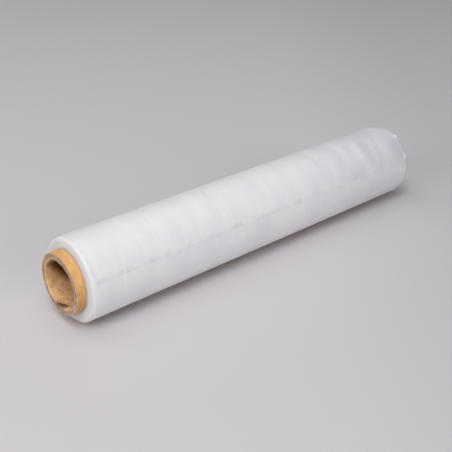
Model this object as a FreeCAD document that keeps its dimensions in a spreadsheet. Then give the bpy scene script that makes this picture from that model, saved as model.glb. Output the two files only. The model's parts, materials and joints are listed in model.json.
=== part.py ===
"""Hand roll of stretch wrap: clear film wound on a paper core that stands out of it at both ends.

The roll lies on its side. X runs along the roll, from the end seen in the photograph (-X) to the far end,
and the front is -Y. The origin lies on the floor, under the middle of the roll. Sizes are in millimetres.
"""

import FreeCAD
import Part
import Sketcher
import math
import os

# Driving sizes. Each is a cell of the sheet, and every feature below is bound to these cells.
SIZES = [
    # name, value, what it is
    ("film_width", 450.0, "width of the film, along the roll"),
    ("film_build", 11.1, "thickness of all the turns together, on one side of the core"),
    ("core_bore", 50.8, "bore of the core, across"),
    ("core_wall", 6.0, "wall of the core"),
    ("core_reach", 12.5, "how far the core stands out of the film at each end"),
    ("core_edge_break", 0.5, "chamfer that the saw and handling leave on the core's cut ends"),
    ("tear_depth", 0.6, "thickness of the innermost ply, which is torn away at the near mouth"),
    ("tear_length", 7.0, "how far the tear runs into the bore"),
    ("tear_angle", 30.0, "how much of the bore the tear takes, in degrees"),
    ("tear_lean", 9.0, "how far the middle of the tear lies behind the lowest line of the bore, in degrees"),
    ("shoulder_radius", 2.2, "rounding of the roll's two outer rims"),
    ("ridge_pitch", 2.0, "from one ridge of turns to the next on the roll's ends"),
    ("ridge_depth", 0.45, "deepest valley between two ridges"),
    ("band_pitch", 110.0, "from one raised band of the film to the next, along the roll"),
    ("band_height", 0.22, "how far the highest band stands above the lowest hollow"),
    ("slack_height", 0.25, "how far the last, slack turns stand proud of the turns beneath"),
    ("slack_neck", 4.0, "how much narrower the slack turns are at each end"),
    ("tail_rise", 16.5, "how far above the middle of the front the film's free edge lies, in degrees"),
    ("rest_flat", 10.0, "width of the flat that the roll's weight presses where it lies"),
]

# Radii that several features share, as the sheet's own expressions
BORE_R = "sizes.core_bore / 2"
CORE_R = "(sizes.core_bore / 2 + sizes.core_wall)"
FILM_R = "(sizes.core_bore / 2 + sizes.core_wall + sizes.film_build)"
AXIS_HEIGHT = f"sqrt({FILM_R} ^ 2 - (sizes.rest_flat / 2) ^ 2)"
FILM_END = "sizes.film_width / 2"
CORE_END = "(sizes.film_width / 2 + sizes.core_reach)"
CUT_MARGIN = 2.0          # how far a cutting profile reaches past the material that it cuts
SLACK_ROOT = 1.0          # how deep the profile of the slack turns reaches into the turns beneath
UNEVEN_STEP = 2.4         # radians from one ridge or band to the next in the uneven patterns
SHALLOWEST = 0.4          # depth of the shallowest hollow or valley, as a share of the deepest
BAND_WANDER = 0.3         # how far a band may lie from its even place, as a share of half its pitch
FAR_END_PHASE = 3         # keeps the far end's valleys unlike the near end's
TO_THE_FRONT = 270.0      # degrees from under the roll, up behind it and over the top, to its front

# How a sketch constraint names a point
LINE_START, LINE_END, CENTRE = 1, 2, 3
SKETCH_ORIGIN = (-1, 1)


def make_sheet(doc):
    """The spreadsheet that drives the model."""
    sheet = doc.addObject("Spreadsheet::Sheet", "sizes")
    for row, (name, value, what) in enumerate(SIZES, start=1):
        sheet.set(f"A{row}", name)
        sheet.set(f"B{row}", str(value))
        sheet.set(f"C{row}", what)
        sheet.setAlias(f"B{row}", name)
    doc.recompute()
    return sheet


def make_body(doc, label):
    """A body whose axis lies along X at the height where the roll rests on its flat."""
    body = doc.addObject("PartDesign::Body", label)
    body.Label = label
    body.setExpression("Placement.Base.z", AXIS_HEIGHT)
    return body


def add_sketch(body, name, plane):
    """An empty sketch on one of the body's own origin planes."""
    sketch = body.newObject("Sketcher::SketchObject", name)
    support = next(feature for feature in body.Origin.OriginFeatures if feature.Role == plane)
    sketch.AttachmentSupport = [(support, "")]
    sketch.MapMode = "FlatFace"
    return sketch


def draw_outline(sketch, corners):
    """A closed outline of straight lines. Each corner is (x, y), as expressions."""
    points = [
        FreeCAD.Vector(float(sketch.evalExpression(x)), float(sketch.evalExpression(y)), 0)
        for x, y in corners
    ]
    lines = [
        sketch.addGeometry(Part.LineSegment(start, end), False)
        for start, end in zip(points, points[1:] + points[:1])
    ]
    for line, following, point, (x, y) in zip(lines, lines[1:] + lines[:1], points, corners):
        sketch.addConstraint(Sketcher.Constraint("Coincident", line, LINE_END, following, LINE_START))
        for kind, value, expression in (("DistanceX", point.x, x), ("DistanceY", point.y, y)):
            place = sketch.addConstraint(
                Sketcher.Constraint(kind, *SKETCH_ORIGIN, line, LINE_START, value)
            )
            sketch.setExpression(f"Constraints[{place}]", expression)


def draw_circle(sketch, name, radius):
    """A circle about the sketch's origin, of a radius given as an expression."""
    value = float(sketch.evalExpression(radius))
    index = sketch.addGeometry(Part.Circle(FreeCAD.Vector(), FreeCAD.Vector(0, 0, 1), value), False)
    sketch.addConstraint(Sketcher.Constraint("Coincident", index, CENTRE, *SKETCH_ORIGIN))
    place = sketch.addConstraint(Sketcher.Constraint("Radius", index, value))
    sketch.renameConstraint(place, name)
    sketch.setExpression(f"Constraints.{name}", radius)


def uneven(number, least):
    """A share from least to 1 that changes unevenly from one number to the next."""
    return round(least + (1 - least) * (0.5 + 0.5 * math.sin(UNEVEN_STEP * number)), 3)


def round_edges(shape, wanted=lambda circle: True):
    """The names of the round edges that are wanted, as a chamfer or a fillet asks for them."""
    return [
        f"Edge{number}"
        for number, edge in enumerate(shape.Edges, start=1)
        if isinstance(edge.Curve, Part.Circle) and wanted(edge.Curve)
    ]


def make_core(doc):
    """The spiral-wound paper tube: one glued piece, cut square, with a torn inner ply at the near mouth."""
    body = make_body(doc, "paper_core")

    ring = add_sketch(body, "core_section", "YZ_Plane")
    draw_circle(ring, "outside", CORE_R)
    draw_circle(ring, "bore", BORE_R)
    tube = body.newObject("PartDesign::Pad", "core_tube")
    tube.Profile = ring
    tube.SideType = "Symmetric"
    tube.setExpression("Length", f"2 * {CORE_END}")
    doc.recompute()

    cut_ends = body.newObject("PartDesign::Chamfer", "core_cut_ends")
    cut_ends.Base = (tube, round_edges(tube.Shape))
    cut_ends.setExpression("Size", "sizes.core_edge_break")
    doc.recompute()

    # The tear is a shallow pocket in the lowest part of the bore, as deep as one ply.
    tear_section = add_sketch(body, "tear_section", "XZ_Plane")
    tear_section.setExpression("AttachmentOffset.Rotation.Axis.x", "1")
    tear_section.setExpression("AttachmentOffset.Rotation.Axis.z", "0")
    tear_section.setExpression("AttachmentOffset.Rotation.Angle", "sizes.tear_lean")
    mouth = f"-{CORE_END} - {CUT_MARGIN}"
    inner = f"-({BORE_R} - {CUT_MARGIN})"
    floor = f"-({BORE_R} + sizes.tear_depth)"
    tear_end = f"-{CORE_END} + sizes.tear_length"
    draw_outline(tear_section, [
        (mouth, floor),
        (mouth, inner),
        (tear_end, inner),
        (tear_end, floor),
    ])
    tear = body.newObject("PartDesign::Groove", "torn_ply")
    tear.Profile = tear_section
    tear.ReferenceAxis = (tear_section, ["H_Axis"])
    tear.Midplane = True
    tear.setExpression("Angle", "sizes.tear_angle")
    doc.recompute()
    return body


def band_line(sheet, end, height):
    """Corners of the film's outer line from -end to end: raised bands with shallow hollows between them, as
    uneven film builds them up. height is the radius of the highest band."""
    steps = 2 * max(1, round(sheet.film_width / sheet.band_pitch))
    edge_height = f"{height} - sizes.band_height / 2"
    corners = [(f"-{end}", edge_height)]
    for number in range(1, steps):
        place = (number + BAND_WANDER * math.sin(UNEVEN_STEP * number)) / steps
        drop = 0 if number % 2 else uneven(number, SHALLOWEST)
        corners.append((f"{end} * {2 * place - 1:.4f}", f"{height} - sizes.band_height * {drop}"))
    corners.append((end, edge_height))
    return corners


def ridge_line(sheet, side, phase):
    """Corners of one end of the roll, from the core outwards: a ridge for each bundle of turns, and a valley
    between two of them. side is "-" for the near end and "" for the far one, and phase sets its pattern."""
    land = sheet.film_build - sheet.shoulder_radius - sheet.band_height
    corners = [(f"{side}({FILM_END})", CORE_R)]
    for number in range(1, max(1, int(land / sheet.ridge_pitch))):
        depth = uneven(number + phase, SHALLOWEST)
        valley, ridge = (f"{CORE_R} + sizes.ridge_pitch * {count}" for count in (number - 0.5, number))
        corners.append((f"{side}({FILM_END} - sizes.ridge_depth * {depth})", valley))
        corners.append((f"{side}({FILM_END})", ridge))
    return corners


def make_film(doc, sheet):
    """The wound film: all its turns as one solid, seated on the core, with the last turns lying slack."""
    body = make_body(doc, "film_roll")

    # All the turns, as an outline turned about the roll's axis
    outline = add_sketch(body, "turns_section", "XZ_Plane")
    near_end = ridge_line(sheet, "-", 0)
    far_end = ridge_line(sheet, "", FAR_END_PHASE)
    draw_outline(outline, near_end + band_line(sheet, FILM_END, FILM_R) + far_end[::-1])
    turns = body.newObject("PartDesign::Revolution", "wound_turns")
    turns.Profile = outline
    turns.ReferenceAxis = (outline, ["H_Axis"])
    turns.Angle = 360
    doc.recompute()

    # The soft shoulders at the two outer rims, which are the only round edges so far out
    shoulder_start = sheet.film_width / 2 - sheet.shoulder_radius
    shoulder_root = outline.evalExpression(f"{FILM_R} - sizes.shoulder_radius")
    shoulders = body.newObject("PartDesign::Fillet", "soft_shoulders")
    shoulders.Base = (turns, round_edges(
        turns.Shape,
        lambda circle: abs(circle.Center.x) > shoulder_start and circle.Radius > float(shoulder_root),
    ))
    shoulders.setExpression("Radius", "sizes.shoulder_radius")
    doc.recompute()

    # The last turns start under the roll, where its weight presses them flat, go up behind it and over the
    # top, and end at the film's free edge on the front.
    slack_end = f"({FILM_END} - sizes.slack_neck)"
    slack_root = f"-({FILM_R} - {SLACK_ROOT})"
    slack_section = add_sketch(body, "slack_section", "XZ_Plane")
    slack_line = band_line(sheet, slack_end, f"{FILM_R} + sizes.slack_height")
    slack_face = [(x, f"-({height})") for x, height in slack_line]
    draw_outline(slack_section, [(slack_end, slack_root), (f"-{slack_end}", slack_root)] + slack_face)
    slack = body.newObject("PartDesign::Revolution", "slack_last_turns")
    slack.Profile = slack_section
    slack.ReferenceAxis = (slack_section, ["H_Axis"])
    slack.setExpression("Angle", f"{TO_THE_FRONT} - sizes.tail_rise")
    doc.recompute()

    # The flat under the roll
    below_rest = add_sketch(body, "rest_section", "YZ_Plane")
    side = f"({FILM_R} + {CUT_MARGIN})"
    depth = f"-({FILM_R} + sizes.slack_height + {CUT_MARGIN})"
    draw_outline(below_rest, [
        (f"-{side}", depth),
        (f"-{side}", f"-{AXIS_HEIGHT}"),
        (side, f"-{AXIS_HEIGHT}"),
        (side, depth),
    ])
    rest = body.newObject("PartDesign::Pocket", "rest_flat")
    rest.Profile = below_rest
    rest.SideType = "Symmetric"
    rest.setExpression("Length", f"2 * ({FILM_END} + {CUT_MARGIN})")
    doc.recompute()
    return body


def check(doc, bodies):
    """Stops the build if an object failed, a body isn't one sound solid, or a cut missed its material."""
    for item in doc.Objects:
        wrong = {"Invalid", "Error"} & set(item.State)
        if wrong:
            raise RuntimeError(f"{item.Name} is {wrong}")
    for body in bodies:
        shape = body.Shape
        if shape.isNull() or not shape.isValid() or len(shape.Solids) != 1:
            raise RuntimeError(f"{body.Label} is not one sound solid")
    for whole, cut in (("core_cut_ends", "torn_ply"), ("slack_last_turns", "rest_flat")):
        if doc.getObject(cut).Shape.Volume >= doc.getObject(whole).Shape.Volume:
            raise RuntimeError(f"{cut} took nothing away")


def main():
    doc = FreeCAD.newDocument("stretch_wrap_roll")
    sheet = make_sheet(doc)
    bodies = [make_core(doc), make_film(doc, sheet)]
    doc.recompute()
    check(doc, bodies)
    os.makedirs("parts", exist_ok=True)
    for body in bodies:
        body.Shape.exportStep(f"parts/{body.Label}.step")
        box = body.Shape.optimalBoundingBox()
        print(f"{body.Label}: {body.Shape.Volume / 1000:.1f} cm3, X {box.XMin:.3f} {box.XMax:.3f},"
              f" Y {box.YMin:.3f} {box.YMax:.3f}, Z {box.ZMin:.3f} {box.ZMax:.3f}")


main()
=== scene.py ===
import json
import math

import bpy
import numpy as np
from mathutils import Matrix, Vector


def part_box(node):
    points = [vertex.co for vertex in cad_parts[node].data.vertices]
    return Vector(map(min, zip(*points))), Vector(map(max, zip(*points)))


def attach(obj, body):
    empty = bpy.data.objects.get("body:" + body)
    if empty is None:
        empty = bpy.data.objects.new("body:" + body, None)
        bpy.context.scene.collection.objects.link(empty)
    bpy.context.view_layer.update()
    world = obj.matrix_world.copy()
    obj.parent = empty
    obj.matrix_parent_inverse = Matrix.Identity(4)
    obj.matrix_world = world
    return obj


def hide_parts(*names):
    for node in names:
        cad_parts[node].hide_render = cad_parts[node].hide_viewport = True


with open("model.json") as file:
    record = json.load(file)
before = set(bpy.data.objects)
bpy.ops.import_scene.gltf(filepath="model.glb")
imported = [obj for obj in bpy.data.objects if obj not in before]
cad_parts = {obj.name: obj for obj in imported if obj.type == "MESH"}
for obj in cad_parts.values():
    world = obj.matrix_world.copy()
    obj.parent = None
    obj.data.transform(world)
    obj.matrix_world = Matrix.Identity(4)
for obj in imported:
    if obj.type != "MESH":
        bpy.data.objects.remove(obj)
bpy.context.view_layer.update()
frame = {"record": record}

# The looks of a hand roll of stretch wrap that lies on its side. Lengths are in metres, angles in degrees.
# X runs along the roll. An angle round the roll is 0 at the back, 90 on top, 180 on the front.
MM = 0.001

# Sizes that the frame gives
core_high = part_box("paper_core")[1]
film_low, film_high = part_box("film_roll")
bore_mount = next(m for m in frame["record"]["mounts"] if m["name"] == "core_bore")
AXIS_Z = bore_mount["pos_m"][2]
BORE_R = bore_mount["dims"]["r_mm"] * MM
CORE_R = core_high.y
CORE_END = core_high.x
FILM_R = -film_low.y
FILM_END = film_high.x
SLACK = 0.9 * (film_high.z - AXIS_Z - FILM_R)    # how far the slack turns stand proud, less room for wrinkles

# Sizes that the solids have too
CORE_EDGE = 0.5 * MM                         # broken edge of the core's cut ends
BAND_DEPTH = 0.2 * MM                        # deepest hollow between the film's raised bands
NECK_IN = 4.0 * MM                           # how much narrower the slack turns are at each end
TAIL_ANGLE = 163.5                           # where the film's free edge lies, on the front
SLACK_START = 270.0                          # degrees down from the tail, over the top, to under the roll
PLY = 0.6 * MM                               # thickness of the core's innermost ply, torn at the near mouth
TEAR_FROM, TEAR_TO = 264.0, 294.0            # the part of the near mouth where that ply is torn
TEAR_LENGTH = 7.0 * MM
SEAM_PITCH = 88.0 * MM                       # advance of the bore's spiral seam in one turn

# Small forms that only the looks have
SHOULDER = 3.0 * MM                          # rounding of the film's outer rims, softer than the solid's
RIDGE_DEPTH = 0.315 * MM                     # deepest valley between the end turns, shallower than the solid's
CORE_RISE = 0.6 * MM                         # how much further the end turns stand out next to the core
SLID, SLID_LOW = 1.3 * MM, 1.7 * MM          # how far the end turns have slid out, and how much more low down
BULGE = 0.45 * MM                            # how far the lowest turns bulge at the front
WRINKLE_DEPTH = 0.06 * MM                    # fine wrinkles in the slack turns
PUCKER_DEPTH = 0.08 * MM                     # puckers along the free edge
CREASE_COUNT = 110
RIM_DROP = 26                                # degrees down from the tail to the far rim's crumpled part
PEAK_ANGLES = 119.9, 156.9                   # where the far rim's two bright peaks stand
PEAK_RISE = 0.9 * MM
BURR = 0.9 * MM                              # how far the top of the core's near mouth is pressed in

# Folds that show on the front: their place along the roll, the angles that they run between, and their slant
# per degree
FOLDS = (
    (97 * MM, 110, 163, 0.02 * MM),
    (112 * MM, 88, 143, 0.27 * MM),
    (125 * MM, 146, 163, 0.05 * MM),
    (163 * MM, 112, 136, 0.10 * MM),
    (168 * MM, 128, 163, 0.04 * MM),
    (205 * MM, 128, 150, -0.03 * MM),
)

# Specks in the bore: their angle, their depth from the near mouth and their size
SPECKS = (
    (316, 9.0 * MM, 1.0 * MM),
    (288, 11.7 * MM, 0.8 * MM),
    (309, 18.4 * MM, 0.9 * MM),
    (297, 16.7 * MM, 0.7 * MM),
)

# The core's zones, in the order of their materials
OUTSIDE, CUT, BORE = 0, 1, 2

# How finely the pieces are made
FILM_COLUMNS = 200
CORE_COLUMNS = 288
FLOOR_HALF = 20.0


def smooth_step(value, low, high):
    """0 below low, 1 above high, and a smooth rise between them."""
    share = np.clip((value - low) / (high - low), 0.0, 1.0)
    return share * share * (3.0 - 2.0 * share)


def bump(value, middle, width):
    """A bell of height 1 about middle."""
    return np.exp(-((value - middle) / width) ** 2)


def ripple(rng, around, along, turns, pitches, count):
    """A smooth uneven pattern from about -1 to 1. It closes on itself round the roll. turns is the most waves
    that it has round the roll, and pitches are the shortest and the longest wave along it."""
    total = np.zeros(np.broadcast(around, along).shape)
    for _ in range(count):
        wave = 1.0 / rng.uniform(1.0 / pitches[1], 1.0 / pitches[0])
        spins = rng.integers(-turns, turns + 1)
        total += np.sin(np.radians(around) * spins + 2 * math.pi * along / wave + rng.uniform(0, 2 * math.pi))
    return total / math.sqrt(count / 2) / 2


def grid_piece(name, points, around, along, materials, zones):
    """A closed ring-shaped mesh from points[ring, column]. around and along are its unrolled coordinates,
    with one value more than there are columns and rings, and zones gives each ring's material."""
    rings, columns = points.shape[:2]
    ring, column = np.meshgrid(np.arange(rings), np.arange(columns), indexing="ij")
    next_ring, next_column = (ring + 1) % rings, (column + 1) % columns
    corners = (ring, column), (ring, next_column), (next_ring, next_column), (next_ring, column)
    faces = np.stack([i * columns + j for i, j in corners], axis=-1).reshape(-1, 4)
    mesh = bpy.data.meshes.new(name)
    mesh.from_pydata(points.reshape(-1, 3).tolist(), [], faces.tolist())
    places = (ring, column), (ring, column + 1), (ring + 1, column + 1), (ring + 1, column)
    flat = np.stack([np.stack([around[j], along[i]], axis=-1) for i, j in places], axis=2)
    mesh.uv_layers.new(name="unrolled").data.foreach_set("uv", flat.astype(np.float32).ravel())
    for material in materials:
        mesh.materials.append(material)
    mesh.polygons.foreach_set("material_index", np.repeat(zones, columns).astype(np.int32))
    mesh.shade_smooth()
    piece = bpy.data.objects.new(name, mesh)
    bpy.context.scene.collection.objects.link(piece)
    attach(piece, "root")
    return piece


def paint(piece, name, values):
    """Stores one number at each point of a grid piece, for its materials to read."""
    layer = piece.data.attributes.new(name, "FLOAT", "POINT")
    layer.data.foreach_set("value", values.astype(np.float32).ravel())


def place_round(along, radius, angle):
    """Points at that distance along the roll, radius and angle. They don't go below the floor."""
    turn = np.radians(angle)
    across, up = radius * np.cos(turn), AXIS_Z + radius * np.sin(turn)
    points = np.stack(np.broadcast_arrays(along, across, up), axis=-1)
    points[..., 2] = np.maximum(points[..., 2], 0.0)
    return points


# Shader helpers

def srgb(red, green, blue):
    """The colour that shows as these 0 to 255 values, as a shader takes it."""
    shares = (channel / 255 for channel in (red, green, blue))
    return tuple(c / 12.92 if c <= 0.04045 else ((c + 0.055) / 1.055) ** 2.4 for c in shares) + (1.0,)


def node(tree, kind, inputs=None, **settings):
    """A shader node with its settings, and its inputs set to a value or linked to a socket."""
    made = tree.nodes.new("ShaderNode" + kind)
    for name, value in settings.items():
        setattr(made, name, value)
    for name, value in (inputs or {}).items():
        if isinstance(value, bpy.types.NodeSocket):
            tree.links.new(value, made.inputs[name])
        else:
            made.inputs[name].default_value = value
    return made


def unrolled(tree, around_scale, along_scale, slant=0.0):
    """The piece's unrolled coordinates, scaled and turned by slant, for patterns drawn out round the roll."""
    where = node(tree, "UVMap", uv_map="unrolled").outputs["UV"]
    turn = (0.0, 0.0, math.radians(slant))
    inputs = {"Vector": where, "Scale": (around_scale, along_scale, 1.0), "Rotation": turn}
    return node(tree, "Mapping", inputs).outputs["Vector"]


def noise(tree, where, scale, detail=4.0):
    """A noise pattern, from 0 to 1."""
    inputs = {"Vector": where, "Scale": scale, "Detail": detail, "Roughness": 0.55}
    return node(tree, "TexNoise", inputs).outputs["Fac"]


def between(tree, value, low, high, to_low=0.0, to_high=1.0):
    """value carried from low..high to to_low..to_high, and held inside it."""
    inputs = {"Value": value, "From Min": low, "From Max": high, "To Min": to_low, "To Max": to_high}
    return node(tree, "MapRange", inputs).outputs["Result"]


def painted(tree, name):
    """A number that paint() stored."""
    return node(tree, "Attribute", attribute_name=name).outputs["Fac"]


def mixed(tree, share, first, second, blend="MIX"):
    """first and second colour, mixed."""
    # The mix node has sockets of the same name for each type, so those for colours go by number
    inputs = {0: share, 6: first, 7: second}
    return node(tree, "Mix", inputs, data_type="RGBA", blend_type=blend).outputs[2]


def product(tree, first, second):
    """Two numbers multiplied."""
    return node(tree, "Math", {0: first, 1: second}, operation="MULTIPLY").outputs["Value"]


def bumped(tree, height, distance, before=None):
    """Surface normals for a height pattern of 0 to 1 that is distance deep, on top of those before it."""
    inputs = {"Height": height, "Distance": distance, "Strength": 1.0}
    if before is not None:
        inputs["Normal"] = before
    return node(tree, "Bump", inputs).outputs["Normal"]


def new_material(name, **sockets):
    """A material, its node tree and its shader, with those sockets set."""
    material = bpy.data.materials.new(name)
    material.use_nodes = True
    shader = material.node_tree.nodes["Principled BSDF"]
    for socket, value in sockets.items():
        shader.inputs[socket.replace("_", " ")].default_value = value
    return material, material.node_tree, shader


def film_material():
    """Milky clear film in many turns: soft and deep white, faintly lavender where it is looser, with fine
    streaks round the roll."""
    material, tree, shader = new_material(
        "wound_film", IOR=1.48, Subsurface_Weight=0.8, Subsurface_Scale=0.010,
        Subsurface_Radius=(1.0, 0.97, 0.95), Coat_Roughness=0.15,
    )
    streaks = noise(tree, unrolled(tree, 1.5, 90.0), 3.0)
    bands = noise(tree, unrolled(tree, 0.6, 9.0), 3.0, detail=2.0)
    patches = noise(tree, unrolled(tree, 1.6, 4.0), 3.0, detail=3.0)
    grain = noise(tree, unrolled(tree, 7.0, 240.0), 3.0, detail=3.0)
    glints = painted(tree, "glints")
    # White in soft patches, bands and streaks, and lavender where it is loose
    colour = mixed(tree, between(tree, patches, 0.4, 0.68), srgb(237, 237, 238), srgb(231, 229, 234))
    colour = mixed(tree, between(tree, bands, 0.4, 0.65, 0.0, 0.35), colour, srgb(227, 227, 228))
    colour = mixed(tree, between(tree, streaks, 0.45, 0.7, 0.0, 0.4), colour, srgb(225, 224, 228))
    colour = mixed(tree, painted(tree, "looseness"), colour, srgb(186, 185, 203))
    # Painted shade: grey dashes along the free edge and a grey band on the near rim; greyer towards the far
    # end; glints near white
    dashes = between(tree, noise(tree, unrolled(tree, 8.0, 26.0, 25.0), 3.0, detail=1.0), 0.36, 0.66)
    # Painted shade in grey dashes along the free edge
    colour = mixed(tree, product(tree, painted(tree, "tail_shade"), dashes), colour, srgb(176, 178, 182))
    colour = mixed(tree, painted(tree, "rim_shade_and_far_grey"), colour, srgb(196, 197, 201))
    # Painted highlight: near white at the glints
    colour = mixed(tree, glints, colour, srgb(250, 250, 252))
    tree.links.new(colour, shader.inputs["Base Color"])
    # Glossier where it glints
    rough = between(tree, streaks, 0.3, 0.7, 0.36, 0.50)
    rough = product(tree, rough, between(tree, glints, 0.0, 0.6, 1.0, 0.2))
    tree.links.new(rough, shader.inputs["Roughness"])
    tree.links.new(between(tree, glints, 0.0, 0.6, 0.06, 1.0), shader.inputs["Coat Weight"])
    relief = bumped(tree, grain, 0.02 * MM, bumped(tree, streaks, 0.05 * MM))
    tree.links.new(relief, shader.inputs["Normal"])
    return material


def kraft_material(name, light, dark, roughness, grain_depth):
    """Kraft paper: fibres and cloudy mottling between two colours, with painted shade, stains with a painted
    shadow, and wear on top.
    """
    material, tree, shader = new_material(name, Specular_IOR_Level=0.35)
    place = node(tree, "TexCoord").outputs["Object"]
    clouds = noise(tree, place, 140.0, detail=5.0)
    fibres = noise(tree, place, 900.0, detail=3.0)
    colour = mixed(tree, between(tree, clouds, 0.35, 0.65), light, dark)
    colour = mixed(tree, between(tree, fibres, 0.4, 0.7, 0.0, 0.35), colour, dark)
    # Painted shade, in the bore and low on the front of the outside
    colour = mixed(tree, painted(tree, "shade"), colour, srgb(121, 94, 50), blend="MULTIPLY")
    # Stains, and a painted shadow at the torn ply's edge
    colour = mixed(tree, painted(tree, "stain_and_shadow"), colour, srgb(86, 52, 44))
    colour = mixed(tree, painted(tree, "worn"), colour, srgb(226, 196, 166))
    tree.links.new(colour, shader.inputs["Base Color"])
    tree.links.new(between(tree, fibres, 0.3, 0.7, roughness, roughness + 0.15), shader.inputs["Roughness"])
    tree.links.new(bumped(tree, fibres, grain_depth), shader.inputs["Normal"])
    return material


def distances(along, radius):
    """Each ring's distance from the first one, measured over the rings between them."""
    return np.concatenate([[0.0], np.cumsum(np.hypot(np.diff(along), np.diff(radius)))])


def film_rings():
    """The film's rings: from the core outwards on the near end, along the outside, and inwards on the far
    end. Gives each one's place along the roll, its radius, its lean and its distance from the first ring.
    The lean is 0 where the surface faces along the roll, and a right angle where it faces outwards."""
    face_r = np.arange(CORE_R, FILM_R - SHOULDER, 0.28 * MM)
    corner = np.radians(np.linspace(0, 90, 8))[:-1]
    near_x = np.concatenate([np.full(len(face_r), -FILM_END), -FILM_END + SHOULDER * (1 - np.cos(corner))])
    near_r = np.concatenate([face_r, FILM_R - SHOULDER + SHOULDER * np.sin(corner)])
    near_lean = np.concatenate([np.zeros(len(face_r)), corner])
    # The rings are closer together where the film is looser
    loose_from = 0.25 * FILM_END
    steady = np.linspace(-FILM_END + SHOULDER, loose_from, 160)
    loose = np.linspace(loose_from, FILM_END - SHOULDER, 210)
    outside = np.concatenate([steady, loose[1:]])
    along = np.concatenate([near_x, outside, -near_x[::-1]])
    radius = np.concatenate([near_r, np.full(len(outside), FILM_R), near_r[::-1]])
    lean = np.concatenate([near_lean, np.full(len(outside), math.pi / 2), near_lean[::-1]])
    return along[:, None], radius[:, None], lean[:, None], distances(along, radius)[:, None]


def turns_relief(rng, along, radius, drop, on_slack, is_side):
    """How far the turns stand out: the slack ones, the bands along the outside and the ridges on the ends."""
    neck = FILM_END - NECK_IN + 0.5 * MM * ripple(rng, drop, 0.0 * along, 3, (1.0, 2.0), 5)
    within = 1 - smooth_step(np.abs(along), neck, neck + 1.2 * MM)
    bands = 0.5 + 0.5 * ripple(rng, drop, along, 1, (14 * MM, 110 * MM), 9)
    ridges = 0.5 + 0.5 * ripple(rng, drop, radius * np.ones_like(drop), 2, (0.9 * MM, 4 * MM), 8)
    on_outside = SLACK * on_slack * within - BAND_DEPTH * bands + BULGE * bump(drop, 280, 20)
    to_core = np.clip((FILM_R - SHOULDER - radius) / (FILM_R - SHOULDER - CORE_R), 0, 1)
    return on_outside * is_side - RIDGE_DEPTH * ridges * (1 - is_side) + CORE_RISE * to_core ** 2


def all_creases(rng):
    """Creases in the slack turns, more of them towards the far end, and the folds on the front. Each one is
    its place along the roll, its middle and reach in degrees, its slant per degree, its width and its rise."""
    creases = [
        (
            FILM_END * (2 * rng.power(2.6) - 1), rng.uniform(0, 235), rng.uniform(12, 42),
            rng.normal(0.1, 0.1) * MM, rng.uniform(0.9, 2.2) * MM, rng.uniform(-0.14, 0.10) * MM,
        )
        for _ in range(CREASE_COUNT)
    ]
    folds = [
        (place, TAIL_ANGLE - (top + low) / 2, (low - top) / 2.6, slant, 0.9 * MM, -0.12 * MM)
        for place, top, low, slant in FOLDS
    ]
    return creases + folds


def loose_film(rng, along, drop, on_slack, is_side, haze):
    """The relief of the creases and wrinkles in the slack turns, and how loose the film looks."""
    relief = looseness = np.zeros(np.broadcast(along, drop).shape)
    for place, middle, reach, slant, width, rise in all_creases(rng):
        across = along - place - slant * (drop - middle)
        share = bump(drop, middle, reach) * on_slack * is_side
        section = bump(across, 0, width) - 0.7 * bump(across, 2.2 * width, 1.2 * width)
        relief = relief + rise * section * share
        looseness = looseness + 1.1 * abs(rise) / MM * bump(across, 0, 1.3 * width) * share
    clouds = 0.5 + 0.5 * ripple(rng, drop, along, 5, (18 * MM, 90 * MM), 10)
    wrinkles = ripple(rng, drop, along, 5, (3 * MM, 9 * MM), 18) * np.clip(0.3 + clouds, 0, 1)
    relief = relief + WRINKLE_DEPTH * haze * wrinkles * on_slack * is_side
    neck_edge = bump(np.abs(along), FILM_END - NECK_IN, 1.2 * MM)
    looseness = looseness * (0.35 + 0.65 * haze) + 0.5 * haze * np.clip(clouds, 0, 1) + 0.3 * neck_edge
    above_tail = on_slack * (0.55 + 0.45 * smooth_step(drop, 0, 9))
    below_tail = 0.55 * smooth_step(drop, 345, 360)
    looseness = np.clip(looseness * (above_tail + below_tail), 0, 1)
    loose_rim = 0.8 * smooth_step(along, FILM_END - 40 * MM, FILM_END - 6 * MM) * bump(drop, RIM_DROP, 32)
    return relief, np.maximum(looseness, loose_rim)


def crumpled_rim(rng, along, radius, lean, drop):
    """The far rim's relief and its glints: it stands up in small peaks, and two of them are glossy and painted
    near white.
    """
    crumple = ripple(rng, drop, along, 40, (3 * MM, 12 * MM), 14)
    rim = smooth_step(along, FILM_END - 9 * MM, FILM_END - 2 * MM)
    rim = rim * smooth_step(radius, FILM_R - 7 * MM, FILM_R)
    relief = (0.9 + 0.4 * crumple) * MM * rim * bump(drop, RIM_DROP, 34)
    at_edge = bump(along, FILM_END - 1.6 * MM, 2.2 * MM) * (lean > 0.3)
    glints = sum(bump(drop, TAIL_ANGLE - peak, 5.0) * at_edge for peak in PEAK_ANGLES)
    return relief + PEAK_RISE * glints, glints


def free_edge(rng, along, drop, is_side, haze):
    """The relief of the puckered free edge, and painted shade along it and in its puckers, in groups."""
    groups = smooth_step(ripple(rng, 0 * drop, along, 0, (18 * MM, 80 * MM), 7), -0.4, 0.4)
    pucker = np.clip(ripple(rng, 12 * drop, along, 1, (3.5 * MM, 9 * MM), 9), 0, 1) * groups
    relief = -PUCKER_DEPTH * pucker * bump(drop, 3.0, 2.2) * is_side
    # Painted shade along the free edge and in the puckers
    pucker_shade = 0.26 * (groups * bump(drop, 3.0, 3.0) + bump(drop, 0.3, 0.7)) * is_side
    return relief, pucker_shade * (1 - 0.7 * haze)


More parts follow.
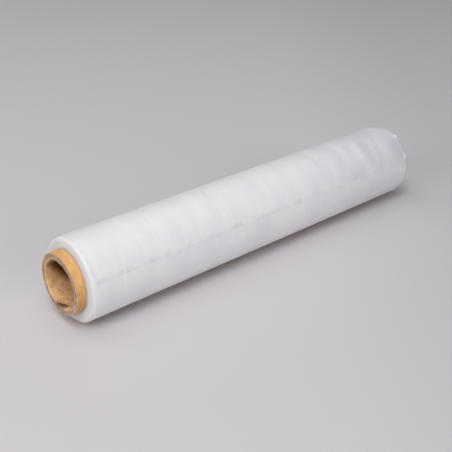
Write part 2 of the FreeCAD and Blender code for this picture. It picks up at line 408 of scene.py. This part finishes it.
def wound_film():
    """All the turns of film, with the ridges, bands, wrinkles and the free edge that they show."""
    rng = np.random.default_rng(11)
    along, radius, lean, distance = film_rings()
    # Columns by degrees from the free edge down over the top, close together on both sides of it
    near_tail = [0.0, 0.3, 0.7, 1.2, 1.8, 2.6, 3.5, 4.5]
    drop = np.concatenate([near_tail, np.linspace(5.8, 358.0, FILM_COLUMNS), [359.0, 359.6]])[None, :]
    wander = 0.35 * ripple(rng, 0.0, along, 0, (25 * MM, 160 * MM), 6)
    angle = TAIL_ANGLE + wander * (bump(drop, 0, 14) + bump(drop, 360, 14)) - drop

    is_side = smooth_step(lean, 1.2, 1.5)
    on_slack = 1 - smooth_step(drop, SLACK_START - 40, SLACK_START - 10)
    haze = smooth_step(along, 0.1 * FILM_END, 0.95 * FILM_END)
    out = turns_relief(rng, along, radius, drop, on_slack, is_side)
    loose_relief, looseness = loose_film(rng, along, drop, on_slack, is_side, haze)
    rim_relief, glints = crumpled_rim(rng, along, radius, lean, drop)
    edge_relief, tail_shade = free_edge(rng, along, drop, is_side, haze)
    out = out + loose_relief + rim_relief + edge_relief

    low_down = 0.5 - 0.5 * np.sin(np.radians(angle))
    slid = (SLID + SLID_LOW * low_down) * smooth_step(np.abs(along), FILM_END - 14 * MM, FILM_END)
    along_out = along + np.sign(along) * (slid + np.cos(lean) * out)
    points = place_round(along_out, radius + np.sin(lean) * out, angle)
    points[..., 1:] = np.clip(points[..., 1:], film_low.yz, film_high.yz)
    around = np.append(drop, 360.0) / 360
    rolled = np.append(distance, distance[-1]) / distance[-1]
    piece = grid_piece("wound_film", points, around, rolled, [film_material()], np.zeros(len(along)))
    piece.data.flip_normals()

    # Painted shade on the near rim, and greyer towards the far end
    on_near_rim = bump(distance, distance[lean > 0.75][0], 1.8 * MM)
    rim_shade_and_far_grey = 0.3 * on_near_rim + 0.3 * smooth_step(along, 0, FILM_END)
    paint(piece, "looseness", looseness)
    paint(piece, "tail_shade", tail_shade)
    paint(piece, "rim_shade_and_far_grey", rim_shade_and_far_grey * np.ones_like(drop))
    paint(piece, "glints", np.clip(glints, 0, 1))
    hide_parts("film_roll")


def core_rings():
    """The core's rings: along the outside, inwards on the far cut end, back through the bore, and outwards on
    the near cut end. Gives each one's place along the roll, its radius and its zone."""
    outside_x = [-CORE_END + CORE_EDGE, -FILM_END, FILM_END, CORE_END - CORE_EDGE]
    cut_r = np.linspace(CORE_R - CORE_EDGE, BORE_R + CORE_EDGE, 14)
    mouth = np.arange(CORE_EDGE, 14 * MM, 0.4 * MM)
    throat = np.arange(14.5 * MM, 90 * MM, 1.5 * MM)
    middle = np.linspace(90 * MM, 2 * CORE_END - 30 * MM, 12)[1:]
    far_mouth = 2 * CORE_END - np.arange(CORE_EDGE, 29 * MM, 1.5 * MM)[::-1]
    bore_x = np.concatenate([mouth, throat, middle, far_mouth])[::-1] - CORE_END
    outside_r, bore_r = np.full(len(outside_x), CORE_R), np.full(len(bore_x), BORE_R)
    cut_x = np.full(len(cut_r), CORE_END)
    along = np.concatenate([outside_x, cut_x, bore_x, -cut_x])
    radius = np.concatenate([outside_r, cut_r, bore_r, cut_r[::-1]])
    zones = np.repeat([OUTSIDE, CUT, BORE, CUT], [len(outside_x), len(cut_r), len(bore_x), len(cut_r)])
    return along[:, None], radius[:, None], zones


def core_stain_and_shadow(rng, angle, along, radius, seam_line, torn_to, torn, in_bore):
    """How dark the core is along its seam, on its lip and in a few specks, with a painted shadow at the torn
    ply's edge.
    """
    depth = along + CORE_END
    from_seam = (depth - seam_line + SEAM_PITCH / 2) % SEAM_PITCH - SEAM_PITCH / 2
    seam = 0.45 * bump(from_seam, 0, 0.7 * MM)
    ragged = 0.9 * MM * ripple(rng, angle, depth, 60, (2 * MM, 6 * MM), 10)
    # Painted shadow in the step along the torn ply's edge
    gap = smooth_step(2.2 * MM - np.abs(torn_to - depth + ragged - 0.6 * MM), -0.3 * MM, 0.5 * MM)
    gap = 0.95 * gap * bump(angle, 277, 9) * (depth < 9 * MM)
    fibres = np.clip(ripple(rng, angle, along + radius, 70, (1.5 * MM, 6 * MM), 14), 0, 1)
    lip = bump(angle, 279, 18) * (radius < BORE_R + 3 * MM) * (1 - smooth_step(depth, 5 * MM, 7 * MM))
    lip = (0.15 + 0.75 * fibres) * lip
    specks = 0
    for spot, at_depth, size in SPECKS:
        specks = specks + 0.45 * bump(np.hypot(np.radians(angle - spot) * BORE_R, depth - at_depth), 0, size)
    return (seam + gap + specks + 0.36 * torn) * in_bore + lip


def core_shade(angle, depth, in_bore, on_outside):
    """Painted shade in the bore and low on the front of the core's outside, where less light falls."""
    inwards = np.minimum(depth, 2 * CORE_END - depth)
    # Degrees up from the bore's back
    up_the_wall = (angle + 180) % 360 - 180
    # Painted shade on the bore's far wall, starting nearer the mouth the higher up it is
    dark_from = (8.5 - 0.35 * np.clip(up_the_wall, -60, 24)) * MM
    shade = smooth_step(inwards - dark_from, -3 * MM, 9 * MM) * (1 - smooth_step(up_the_wall, 24, 44))
    # and a little painted shade on the low wall near the mouth
    shade = shade * smooth_step(up_the_wall, -90, -50) + 0.16 * bump(up_the_wall, -95, 22)
    # Painted shade low on the front of the core's outside
    return shade * in_bore + 0.22 * bump(angle, 205, 40) * on_outside


def spiral_core():
    """The cardboard core: its outside, its cut ends with their plies, and its bore with the spiral seam and
    the torn ply."""
    rng = np.random.default_rng(5)
    along, radius, zones = core_rings()
    angle = np.linspace(0, 360, CORE_COLUMNS, endpoint=False)[None, :]
    depth = along + CORE_END
    on_outside, on_cut, in_bore = ((zones == zone)[:, None] for zone in (OUTSIDE, CUT, BORE))

    # The torn ply: its seam runs from the mouth inwards as the angle falls
    seam_line = SEAM_PITCH * (TEAR_TO - angle) / 360
    torn_to = seam_line + 0.5 * MM * ripple(rng, angle, 0 * depth, 40, (1.0, 2.0), 8)
    torn = smooth_step(torn_to - depth, 0.0, 0.5 * MM) * in_bore
    torn = torn * smooth_step(angle, TEAR_FROM, TEAR_FROM + 1.5)
    torn = torn * (1 - smooth_step(angle, TEAR_TO - 1, TEAR_TO + 1))
    torn = torn * (1 - smooth_step(depth, TEAR_LENGTH - 0.6 * MM, TEAR_LENGTH))

    # The near mouth's top is pressed in a little, the bore is uneven, and the cut ends are rough
    burr = BURR * bump(angle, 105, 55) * (1 - smooth_step(depth, MM, 4 * MM)) * (radius < CORE_R - 2.5 * MM)
    uneven = 0.04 * MM * ripple(rng, angle, along, 30, (3 * MM, 30 * MM), 12) * in_bore
    rough = 0.12 * MM * ripple(rng, angle, radius * np.ones_like(angle), 40, (0.5 * MM, 2 * MM), 14)
    frayed = 1 + 3 * bump(angle, 277, 18) * (radius < BORE_R + 2 * MM) * (along < 0)
    along_out = along - np.sign(along) * np.abs(rough) * frayed * on_cut
    points = place_round(along_out, radius + PLY * torn - burr - uneven, angle)

    around = np.append(angle, 360.0) / 360
    distance = distances(along[:, 0], radius[:, 0])
    rolled = np.append(distance, distance[-1] + CORE_EDGE)
    # In the order of the zones
    materials = [
        kraft_material("core_outside", srgb(224, 174, 114), srgb(208, 154, 94), 0.42, 0.03 * MM),
        kraft_material("core_cut", srgb(208, 178, 154), srgb(160, 130, 106), 0.75, 0.12 * MM),
        # The bore's colours are paler than its paper: painted light, brightening the inside of the bore
        kraft_material("core_bore", srgb(250, 211, 164), srgb(221, 175, 126), 0.65, 0.06 * MM),
    ]
    piece = grid_piece("spiral_core", points, around, rolled, materials, zones)

    stain_and_shadow = core_stain_and_shadow(rng, angle, along, radius, seam_line, torn_to, torn, in_bore)
    from_edge = np.minimum(np.abs(radius - CORE_R), np.abs(radius - BORE_R))
    worn = bump(from_edge, 0, 0.9 * MM) * on_cut * (1 - bump(angle, 280, 20)) + 0.1 * torn
    paint(piece, "stain_and_shadow", np.clip(stain_and_shadow, 0, 1))
    paint(piece, "shade", core_shade(angle, depth, in_bore, on_outside))
    paint(piece, "worn", np.clip(worn, 0, 1))
    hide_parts("paper_core")


def floor_piece():
    """A plain pale floor with painted shade: a little darker further off and to the right, and a warm painted
    shadow under the roll.
    """
    material, tree, shader = new_material("floor", Roughness=0.38)
    place = node(tree, "TexCoord").outputs["Object"]
    where = node(tree, "SeparateXYZ", {"Vector": place})
    # Painted shade: darker further off
    far = between(tree, where.outputs["Y"], -0.35, 0.9)
    colour = mixed(tree, far, srgb(214, 210, 214), srgb(209, 207, 210))
    # Painted shade: darker to the right
    right = node(tree, "VectorMath", {0: place, 1: (0.75, -0.66, 0.0)}, operation="DOT_PRODUCT")
    colour = mixed(tree, between(tree, right.outputs["Value"], 0.08, 0.30), colour, srgb(201, 199, 202))
    beside = node(tree, "Math", {0: where.outputs["Y"]}, operation="ABSOLUTE").outputs["Value"]
    along = node(tree, "Math", {0: where.outputs["X"]}, operation="ABSOLUTE").outputs["Value"]
    # A warm painted shadow under the roll
    shadow_side = between(tree, beside, 0.9 * FILM_R, 0.2 * FILM_R)
    shadow_length = between(tree, along, FILM_END + 0.3 * FILM_R, FILM_END - 0.3 * FILM_R)
    colour = mixed(tree, product(tree, shadow_side, shadow_length), colour, srgb(206, 192, 186))
    tree.links.new(colour, shader.inputs["Base Color"])
    corners = [(FLOOR_HALF * x, FLOOR_HALF * y, 0.0) for x, y in ((-1, -1), (1, -1), (1, 1), (-1, 1))]
    mesh = bpy.data.meshes.new("floor")
    mesh.from_pydata(corners, [], [(0, 1, 2, 3)])
    mesh.materials.append(material)
    piece = bpy.data.objects.new("floor", mesh)
    bpy.context.scene.collection.objects.link(piece)


def softbox(name, azimuth, elevation, power, size, away=2.6):
    """A square soft light that faces the roll. Azimuth 0 is in front of it and -90 is at its near end."""
    turn, rise = math.radians(azimuth), math.radians(elevation)
    towards = Vector((math.sin(turn) * math.cos(rise), -math.cos(turn) * math.cos(rise), math.sin(rise)))
    light = bpy.data.lights.new(name, "AREA")
    light.size = size
    light.energy = power
    lamp = bpy.data.objects.new(name, light)
    lamp.location = away * towards
    lamp.rotation_euler = (-towards).to_track_quat("-Z", "Y").to_euler()
    bpy.context.scene.collection.objects.link(lamp)


def backdrop():
    """A pale surround that the camera and the gloss see. It hardly lights the object."""
    world = bpy.data.worlds.new("studio")
    world.use_nodes = True
    tree = world.node_tree
    surround = tree.nodes["Background"]
    surround.inputs["Color"].default_value = srgb(190, 188, 191)
    rays = node(tree, "LightPath").outputs
    seen = node(tree, "Math", {0: rays["Is Camera Ray"], 1: rays["Is Glossy Ray"]}, operation="MAXIMUM")
    seen = node(tree, "Math", {0: seen.outputs["Value"], 1: rays["Is Transmission Ray"]}, operation="MAXIMUM")
    tree.links.new(between(tree, seen.outputs["Value"], 0.0, 1.0, 0.02, 1.0), surround.inputs["Strength"])
    bpy.context.scene.world = world


def studio():
    """Plain soft light: a softbox high on the front left, one low beside the near end, a wide one above, a
    weaker one behind on the left, and a far, broad light low in front."""
    softbox("key", azimuth=-48, elevation=58, power=25.0, size=1.2)
    softbox("left", azimuth=-82, elevation=28, power=16.2, size=1.2)
    softbox("top", azimuth=0, elevation=90, power=17.4, size=2.0)
    softbox("back", azimuth=-155, elevation=54, power=11.5, size=1.6)
    front = bpy.data.lights.new("front", "SUN")
    front.energy = 0.86
    front.angle = math.radians(34)
    lamp = bpy.data.objects.new("front", front)
    lamp.rotation_euler = (math.radians(75), 0.0, 0.0)
    bpy.context.scene.collection.objects.link(lamp)


def camera():
    """The photograph's view, as a level camera that looks down at the roll."""
    azimuth, elevation = math.radians(-41.21), math.radians(27.04)
    distance = 942.3 * MM
    aim_right, aim_up = -24.2 * MM, 22.3 * MM
    focal_pixels, frame_pixels = 841.0, 452.0
    right = Vector((math.cos(azimuth), math.sin(azimuth), 0.0))
    back = Vector((
        math.sin(azimuth) * math.cos(elevation),
        -math.cos(azimuth) * math.cos(elevation),
        math.sin(elevation),
    ))
    up = back.cross(right)
    view = bpy.data.cameras.new("camera")
    view.sensor_fit = "HORIZONTAL"
    view.lens = view.sensor_width * focal_pixels / frame_pixels
    view.shift_x = 1.1 / frame_pixels
    view.shift_y = -1.2 / frame_pixels
    view.clip_end = 100.0
    eye = bpy.data.objects.new("camera", view)
    eye.location = right * aim_right + up * aim_up + back * distance
    eye.rotation_euler = (-back).to_track_quat("-Z", "Y").to_euler()
    bpy.context.scene.collection.objects.link(eye)
    bpy.context.scene.camera = eye


wound_film()
spiral_core()
floor_piece()
backdrop()
studio()
camera()
bpy.context.scene.view_settings.view_transform = "Standard"
